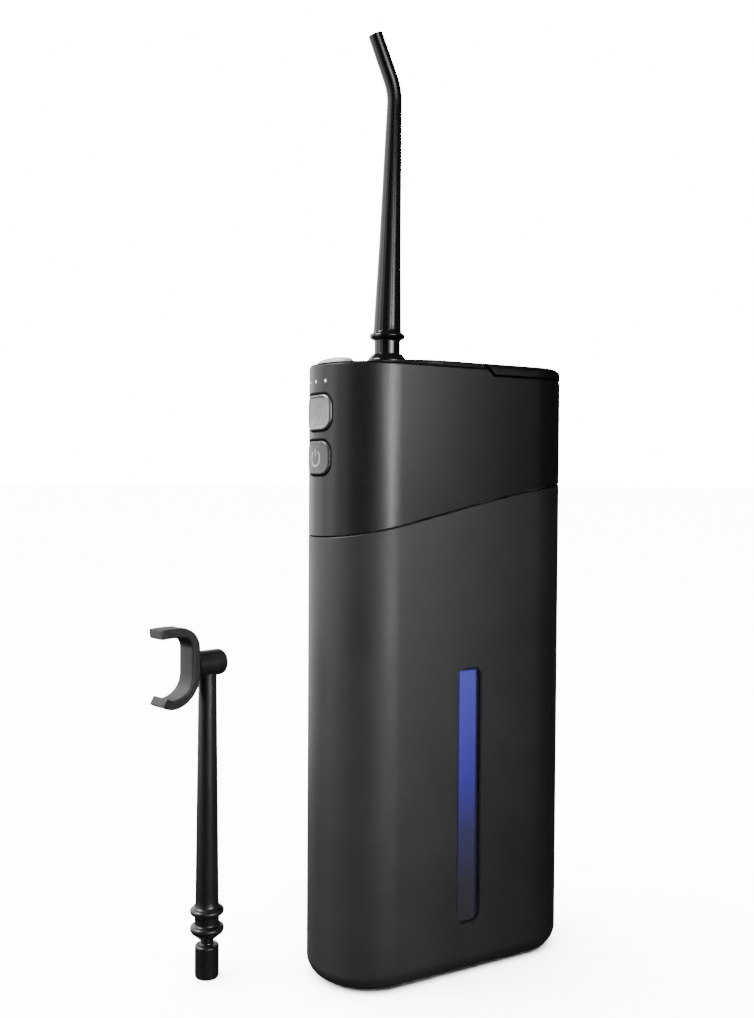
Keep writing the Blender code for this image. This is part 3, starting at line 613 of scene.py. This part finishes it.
def housing():
    rings = [level(stadium(WALL), lambda x: seam_z(x) + SEAM_HALF_GAP)]
    for run, rise in reversed(quarter(HOUSING_LIP, 4)):
        lift = SEAM_HALF_GAP + HOUSING_LIP - rise
        rings.append(level(stadium(run), lambda x, lift=lift: seam_z(x) + lift))
    for run, rise in quarter(RIM_ROUND, 4):
        rings.append(level(stadium(run), lambda x, rise=rise: seat_z(x) - RIM_ROUND + rise))
    rings.append(level(stadium(WALL), seat_z))
    made = loft("housing_shell", rings, LOOKS["housing"], "head", "head_housing", closed=True)
    hole_r = INDICATOR_R + 0.12
    tools = [aperture(POWER), aperture(MODE)]
    tools += [radial_rings(i, ((2.0, hole_r), (-3.0, hole_r))) for i in (-1, 0, 1)]
    tools += [flap_pocket(), port_hole()]
    cut(made, tools)


def indicators():
    for index in (-1, 0, 1):
        number = str(index + 2)
        rings = radial_rings(index, ((-1.7, INDICATOR_R), (-0.1, INDICATOR_R), (0.03, INDICATOR_R - 0.15)))
        loft("light_pipe_" + number, rings, LOOKS["led"], "head", "indicator_" + number)


def dish_depth(button, share):
    """How far the cap's face stands off the round end at a share of the way to its edge."""
    return BUTTON_PROUD - button["dish"] * (1 - share**2) - 0.02


def push_button(name, button, look, body, node):
    """A cap that follows the round end, with a rolled edge and a dished face."""
    rings = [[(BUTTON_BACK_X, y, z) for y, z in button_outline(button, 0.0)]]
    for run, rise in quarter(BUTTON_EDGE, 5):
        ring = []
        for y, z in button_outline(button, 0.0):
            share_y = 1 - run / button["half_y"]
            share_z = 1 - run / button["half_z"]
            new_z = button["z"] + (z - button["z"]) * share_z
            ring.append((end_x(y * share_y, BUTTON_PROUD - BUTTON_EDGE + rise), y * share_y, new_z))
        rings.append(ring)
    for i in range(14, 0, -1):
        share = 0.06 * i
        ring = []
        for y, z in button_outline(button, 0.0):
            depth = dish_depth(button, share)
            ring.append((end_x(y * share, depth), y * share, button["z"] + (z - button["z"]) * share))
        rings.append(ring)
    loft(name, rings, look, body, node, sharp=60.0)


def icon_strip(name, button, path, width, proud, look, body):
    """A thin inlaid line on a button's dished face, along a path of (y, z) points."""
    verts, faces = [], []
    for i, here in enumerate(path):
        before, after = Vector(path[max(i - 1, 0)]), Vector(path[min(i + 1, len(path) - 1)])
        heading = (after - before).normalized()
        for side, lift in ((-0.5, -0.2), (-0.5, proud), (0.5, proud), (0.5, -0.2)):
            y = here[0] - heading.y * side * width
            z = here[1] + heading.x * side * width
            share = max(abs(y) / button["half_y"], abs(z) / button["half_z"])
            verts.append((end_x(y, dish_depth(button, share) + lift), y, button["z"] + z))
    for i in range(len(path) - 1):
        for k in range(4):
            a, b = i * 4 + k, i * 4 + (k + 1) % 4
            faces.append((a, b, b + 4, a + 4))
    last = (len(path) - 1) * 4
    faces += [(0, 1, 2, 3), (last + 3, last + 2, last + 1, last)]
    made = piece(name, verts, faces, look, body)


def buttons():
    push_button("mode_key_cap", MODE, LOOKS["button"], "mode_key", "mode_button")
    push_button("power_key_cap", POWER, LOOKS["button_dark"], "power_key", "power_button")
    ring = arc((0.0, -0.1), 1.95, 128.0, 412.0, 48)
    icon_strip("power_ring", POWER, ring, 0.42, 0.04, LOOKS["icon"], "power_key")
    bar = [(0.0, 0.4 + 0.2 * i) for i in range(10)]
    icon_strip("power_bar", POWER, bar, 0.42, 0.04, LOOKS["icon"], "power_key")
    ring = arc((0.0, 0.0), 1.5, 0.0, 357.0, 48)
    icon_strip("mode_ring", MODE, ring, 0.3, 0.03, LOOKS["icon_faint"], "mode_key")


# ---------------------------------------------------------------- deck, lid, release button

def deck_outline(inset, cut_x, centre_x=-END_X, radius=BODY_R):
    r = radius - inset
    return [(cut_x, r)] + arc((centre_x, 0.0), r, 90.0, 270.0, ARC_STEPS) + [(cut_x, -r)]


def deck():
    plug_cut = slant_x(RIM_Z, LID_GAP) - 0.3
    flange_low = RIM_Z + FLANGE_GAP
    rings = [
        level(deck_outline(WALL + GAP, plug_cut), 147.0),
        level(deck_outline(WALL + GAP, plug_cut), flange_low),
        level(deck_outline(0.25, slant_x(RIM_Z, LID_GAP)), flange_low),
    ]
    for run, rise in quarter(0.1, 3):
        rings.append(level(deck_outline(0.25 + run, slant_x(SHELF_Z, LID_GAP)), SHELF_Z - 0.1 + rise))
    foot_x = slant_x(SHELF_Z, LID_GAP) - 0.25
    rings.append(level(deck_outline(0.0, foot_x, PLATFORM_X, PLATFORM_R), SHELF_Z))
    for run, rise in quarter(PLATFORM_ROUND, 5):
        z = DECK_Z - PLATFORM_ROUND + rise
        rings.append(level(deck_outline(run, slant_x(z, LID_GAP) - 0.1, PLATFORM_X, PLATFORM_R), z))
    made = loft("deck_plate", rings, LOOKS["deck"], "head", "deck_cover")
    neat, wide = HOLE_EDGE
    oval = []
    for z, grow in ((156.0, wide), (SHELF_Z, wide), (SHELF_Z - wide + neat, neat), (140.0, neat)):
        half_x = RELEASE_HIGH.x - RELEASE_X + grow
        half_y = RELEASE_HIGH.y + grow
        oval.append([(RELEASE_X + half_x * x, half_y * y, z) for x, y in circle(1.0, 64)])
    bore = []
    neat, wide = BORE_R
    for z, r in ((156.0, wide), (DECK_Z, wide), (DECK_Z - wide + neat, neat), (140.0, neat)):
        bore.append(level(circle(r, 48, (NOZZLE_X, 0.0)), z))
    cut(made, [oval, bore])


def release_button():
    half = Vector((RELEASE_HIGH.x - RELEASE_X, RELEASE_HIGH.y))
    rings = [[(RELEASE_X + half.x * x, half.y * y, RELEASE_LOW.z) for x, y in circle(1.0, 64)]]
    brow = SHELF_Z + 0.35
    for i in range(14):
        turn = math.pi / 2 * i / 14
        share, z = math.cos(turn)**0.4, brow + (RELEASE_HIGH.z - brow) * math.sin(turn)
        rings.append([(RELEASE_X + half.x * x * share, half.y * y * share, z) for x, y in circle(1.0, 64)])
    made = loft("release_dome", rings, LOOKS["silver"], "release_key", "release_button", sharp=60.0)


def lid():
    def shape(inset, z, left_inset=0.0):
        r = BODY_R - inset
        left = slant_x(z) + left_inset
        outline = [(left, -r)] + arc((END_X, 0.0), r, -90.0, 90.0, ARC_STEPS) + [(left, r)]
        return level(outline, z)

    hollow = 1.2
    rings = [shape(WALL, LID_LOW + hollow, WALL), shape(WALL, LID_LOW, WALL)]
    rings += [shape(LID_EDGE, LID_LOW), shape(0.0, LID_LOW + LID_EDGE)]
    for run, rise in quarter(LID_ROUND, 8):
        rings.append(shape(run, DECK_Z - LID_ROUND + rise))
    made = loft("lid_shell", rings, LOOKS["lid"], "lid", "store_lid")
    turn = Matrix.Rotation(math.radians(90), 3, "X")
    barrel = []
    for y in (-HINGE_HALF, HINGE_HALF):
        ring = [turn @ Vector((a, b, 0.0)) for a, b in circle(HINGE_R, 24)]
        barrel.append([(p.x + HINGE_X, y, p.z + HINGE_Z) for p in ring])
    cut(made, [barrel], "UNION")


# ---------------------------------------------------------------- jet tip

def smooth_profile(corners, radius, steps=4):
    """Round each inner corner of an (r, z) profile with a short curve."""
    points = [corners[0]]
    for before, here, after in zip(corners, corners[1:], corners[2:]):
        a, b, c = Vector(before), Vector(here), Vector(after)
        reach = min(radius, (a - b).length * 0.45, (c - b).length * 0.45)
        start, stop = b + (a - b).normalized() * reach, b + (c - b).normalized() * reach
        for i in range(steps + 1):
            t = i / steps
            point = start * (1 - t)**2 + b * 2 * t * (1 - t) + stop * t**2
            points.append((point.x, point.y))
    points.append(corners[-1])
    return points


def jet_line(z):
    """Centre of the mounted tip at height z, below its bend: upright, then leaning a little."""
    straight, lean = 159.0, 1.64 / 56.2
    return NOZZLE_X + max(z - straight, 0.0) * lean


def jet_tip():
    corners = [
        (2.5, 141.6), (2.95, 142.1), (2.95, 147.5), (3.2, 148.3), (3.2, 156.4), (4.2, 156.7),
        (4.45, 157.3), (4.2, 157.8), (3.5, 158.1), (3.4, 159.4), (2.7, 180.0), (2.2, 201.0),
        (1.88, 213.4), (1.86, JET_BEND_Z),
    ]
    stations = [(jet_line(z), z, r, 0.0) for r, z in smooth_profile(corners, 0.5)]
    bend_x = jet_line(JET_BEND_Z)
    for i in range(1, 13):
        turn = math.radians(JET_LEAN * i / 12)
        x = bend_x - JET_BEND_R * (1 - math.cos(turn))
        stations.append((x, JET_BEND_Z + JET_BEND_R * math.sin(turn), 1.86, JET_LEAN * i / 12))
    mouth_x, mouth_z = stations[-1][0], stations[-1][1]
    turn = math.radians(JET_LEAN)
    for share, r in ((0.5, 1.83), (0.975, 1.8), (0.993, 1.72), (1.0, 1.5), (1.0, 0.6), (0.88, 0.55)):
        length = (JET_TOP_Z - mouth_z) / math.cos(turn) * share
        x, z = mouth_x - length * math.sin(turn), mouth_z + length * math.cos(turn)
        stations.append((x, z, r, JET_LEAN))
    rings = []
    for x, z, r, tilt in stations:
        turn = Matrix.Rotation(math.radians(-tilt), 3, "Y")
        rings.append([turn @ Vector((a, b, 0.0)) + Vector((x, 0.0, z)) for a, b in circle(r, 40)])
    loft("jet_tube", rings, LOOKS["gloss"], "jet_tip", "jet_nozzle", sharp=50.0)


def swivel():
    corners = [
        (SWIVEL_BORE, 150.0), (SWIVEL_BORE, 147.1), (SWIVEL_SKIRT_R, 147.1), (SWIVEL_SKIRT_R, 150.8),
        (4.9, 150.8), (4.9, 151.4), (3.85, 152.7), (3.55, 152.9), (SWIVEL_BORE, 152.8), (SWIVEL_BORE, 151.2),
    ]
    profile = smooth_profile(corners, 0.25)
    turned("swivel_cone", profile, LOOKS["gloss"], "swivel", "swivel_collar",
           centre=(NOZZLE_X, 0.0), closed=True)


# ---------------------------------------------------------------- spare tip

def along_barrel(distance, side=0.0, z=0.0):
    turn = math.radians(SPARE_TURN)
    x = SPARE_X + distance * math.cos(turn) - side * math.sin(turn)
    y = SPARE_Y + distance * math.sin(turn) + side * math.cos(turn)
    return (x, y, z)


def barrel_rings(pairs, steps=40):
    rings = []
    for distance, radius in pairs:
        rings.append([along_barrel(distance, x, BARREL_Z + y) for x, y in circle(radius, steps)])
    return rings


def spare_tip():
    corners = [
        (2.6, 0.0), (2.95, 0.4), (2.95, 7.7), (2.7, 8.0), (1.5, 8.1), (1.5, 8.9),
        (2.2, 9.7), (3.9, 11.1), (4.15, 11.6), (4.15, 12.3), (3.9, 12.7), (3.0, 13.0),
        (3.0, 15.2), (4.15, 15.8), (4.15, 16.8), (3.0, 17.4), (2.85, 18.8), (2.25, 72.9), (2.25, 77.0),
    ]
    made = turned("spare_shaft", smooth_profile(corners, 0.4), LOOKS["spare"], "spare_tip",
                  "spare_stem", centre=(SPARE_X, SPARE_Y), steps=40)
    pairs = [(BARREL_LEFT, BARREL_R)]
    for run, rise in quarter(BARREL_ROUND, 7):
        pairs.append((BARREL_RIGHT - BARREL_ROUND + rise, BARREL_R - run))
    cut(made, [barrel_rings(pairs)], "UNION")


def fork_path():
    """Centre line of the fork as (distance along the barrel, height)."""
    back, low, high = FORK_BACK, FORK_LOW_Z, FORK_HIGH_Z
    lower = [(-14.1, low + 1.0), (-13.4, low + 0.62), (-12.6, low + 0.25)]
    upper = [(-10.0, high), (-11.6, high), (-13.2, high - 0.03), (-14.7, high - 0.15)]
    start = arc((back - FORK_LOW_R, low + FORK_LOW_R), FORK_LOW_R, -90.0, 0.0, 18)
    end = arc((back - FORK_HIGH_R, high - FORK_HIGH_R), FORK_HIGH_R, 0.0, 90.0, 18)
    return lower + start + end + upper


def middle_of(ring):
    return sum((Vector(point) for point in ring), Vector()) / len(ring)


def rounded_end(rings):
    """Soften the last ring: pull it back a little, then close it with a smaller one."""
    centre = middle_of(rings[-1])
    out = (centre - middle_of(rings[-2])).normalized()
    cap = [tuple(centre + (Vector(point) - centre) * 0.8) for point in rings[-1]]
    slim = [tuple(Vector(point) - out * 0.25) for point in rings[-1]]
    return rings[:-1] + [slim, cap]


def spare_fork():
    path = fork_path()
    rings = []
    for i, (distance, z) in enumerate(path):
        before, after = path[max(i - 1, 0)], path[min(i + 1, len(path) - 1)]
        heading = Vector((after[0] - before[0], after[1] - before[1])).normalized()
        normal = Vector((-heading.y, heading.x))
        ring = []
        for across, side in rounded_box(FORK_HALF_BAND, FORK_HALF_WIDTH, 0.5, 6):
            ring.append(along_barrel(distance + normal.x * across, side, z + normal.y * across))
        rings.append(ring)
    rings = rounded_end(rings[::-1])[::-1]
    rings = rounded_end(rings)
    made = loft("fork_band", rings, LOOKS["fork"], "spare_tip", "spare_fork", sharp=50.0)


# ---------------------------------------------------------------- stage

def aim(lamp, place, target):
    lamp.location = place
    lamp.rotation_euler = (Vector(target) - Vector(place)).to_track_quat("-Z", "Y").to_euler()
    bpy.context.scene.collection.objects.link(lamp)


def softbox(name, azimuth, distance, height, size, watts, target=(0.0, 0.0, 0.09), spread=180.0):
    """An upright area light; a small spread acts like a honeycomb grid."""
    data = bpy.data.lights.new(name, "AREA")
    data.shape = "RECTANGLE"
    data.size, data.size_y = size
    data.energy = watts
    data.spread = math.radians(spread)
    turn = math.radians(azimuth)
    place = (distance * math.cos(turn), distance * math.sin(turn), height)
    aim(bpy.data.objects.new(name, data), place, target)


def floor():
    mesh = bpy.data.meshes.new("floor")
    half = 40.0
    corners = [(-half, -half, 0), (half, -half, 0), (half, half, 0), (-half, half, 0)]
    mesh.from_pydata(corners, [], [(0, 1, 2, 3)])
    look = surface("pale_floor", (0.9, 0.9, 0.9), (0.93, 0.93, 0.93), 0.75, grain=40.0, specular=0.1)
    mesh.materials.append(look)
    made = bpy.data.objects.new("floor", mesh)
    made.visible_diffuse = False
    made.visible_glossy = False
    bpy.context.scene.collection.objects.link(made)
    return made


def floor_wash(ground):
    """A wide soft light from above that only the floor receives; the object still shades it."""
    data = bpy.data.lights.new("floor_wash", "SUN")
    data.energy = FLOOR_WASH
    data.angle = math.radians(110.0)
    lamp = bpy.data.objects.new("floor_wash", data)
    aim(lamp, (-0.3, 0.3, 2.0), (0.0, 0.0, 0.0))
    receivers = bpy.data.collections.new("floor_only")
    receivers.objects.link(ground)
    lamp.light_linking.receiver_collection = receivers


def backdrop():
    """White behind the object, and almost no light from it on the object."""
    world = bpy.data.worlds.new("studio")
    bpy.context.scene.world = world
    world.use_nodes = True
    nodes, links = world.node_tree.nodes, world.node_tree.links
    nodes.clear()
    out = nodes.new("ShaderNodeOutputWorld")
    shown, ambient = nodes.new("ShaderNodeBackground"), nodes.new("ShaderNodeBackground")
    shown.inputs["Strength"].default_value = BACKDROP
    ambient.inputs["Strength"].default_value = AMBIENT
    path, mix = nodes.new("ShaderNodeLightPath"), nodes.new("ShaderNodeMixShader")
    links.new(path.outputs["Is Camera Ray"], mix.inputs["Fac"])
    links.new(ambient.outputs["Background"], mix.inputs[1])
    links.new(shown.outputs["Background"], mix.inputs[2])
    links.new(mix.outputs["Shader"], out.inputs["Surface"])


def stage():
    floor_wash(floor())
    backdrop()
    for azimuth, watts, width in SIDE_BOXES:
        softbox("side_box", azimuth, 1.0, 0.33, (width, 1.1), watts)
    for azimuth, watts, spread in GRID_BOXES:
        softbox("grid_box", azimuth, 0.5, 0.16, (0.1, 0.45), watts, GRID_AIM, spread)
    azimuth, watts, spread = JET_STRIP
    softbox("jet_strip", azimuth, 0.5, 0.22, (0.02, 0.4), watts, JET_AIM, spread)
    azimuth, watts = HIGH_BOX
    softbox("high_box", azimuth, 0.8, 0.95, (0.6, 0.4), watts)


def camera():
    yaw, pitch, roll = CAMERA_YAW, CAMERA_PITCH, CAMERA_ROLL
    data = bpy.data.cameras.new("camera")
    data.sensor_fit = "AUTO"
    data.sensor_width = 36.0
    data.lens = CAMERA_FOCAL * data.sensor_width
    data.clip_start = 0.01
    made = bpy.data.objects.new("camera", data)
    forward = Vector((math.cos(pitch) * math.sin(yaw), math.cos(pitch) * math.cos(yaw), -math.sin(pitch)))
    right = Vector((math.cos(yaw), -math.sin(yaw), 0.0))
    up = right.cross(forward)
    rolled_right = right * math.cos(roll) + up * math.sin(roll)
    rolled_up = up * math.cos(roll) - right * math.sin(roll)
    turn = Matrix((rolled_right, rolled_up, -forward)).transposed()
    made.matrix_world = Matrix.Translation(Vector(CAMERA_PLACE)) @ turn.to_4x4()
    bpy.context.scene.collection.objects.link(made)
    bpy.context.scene.camera = made


camera()
paint_nodes()
sleeve()
housing()
indicators()
buttons()
deck()
release_button()
lid()
jet_tip()
swivel()
spare_tip()
spare_fork()
even_normals()
stage()
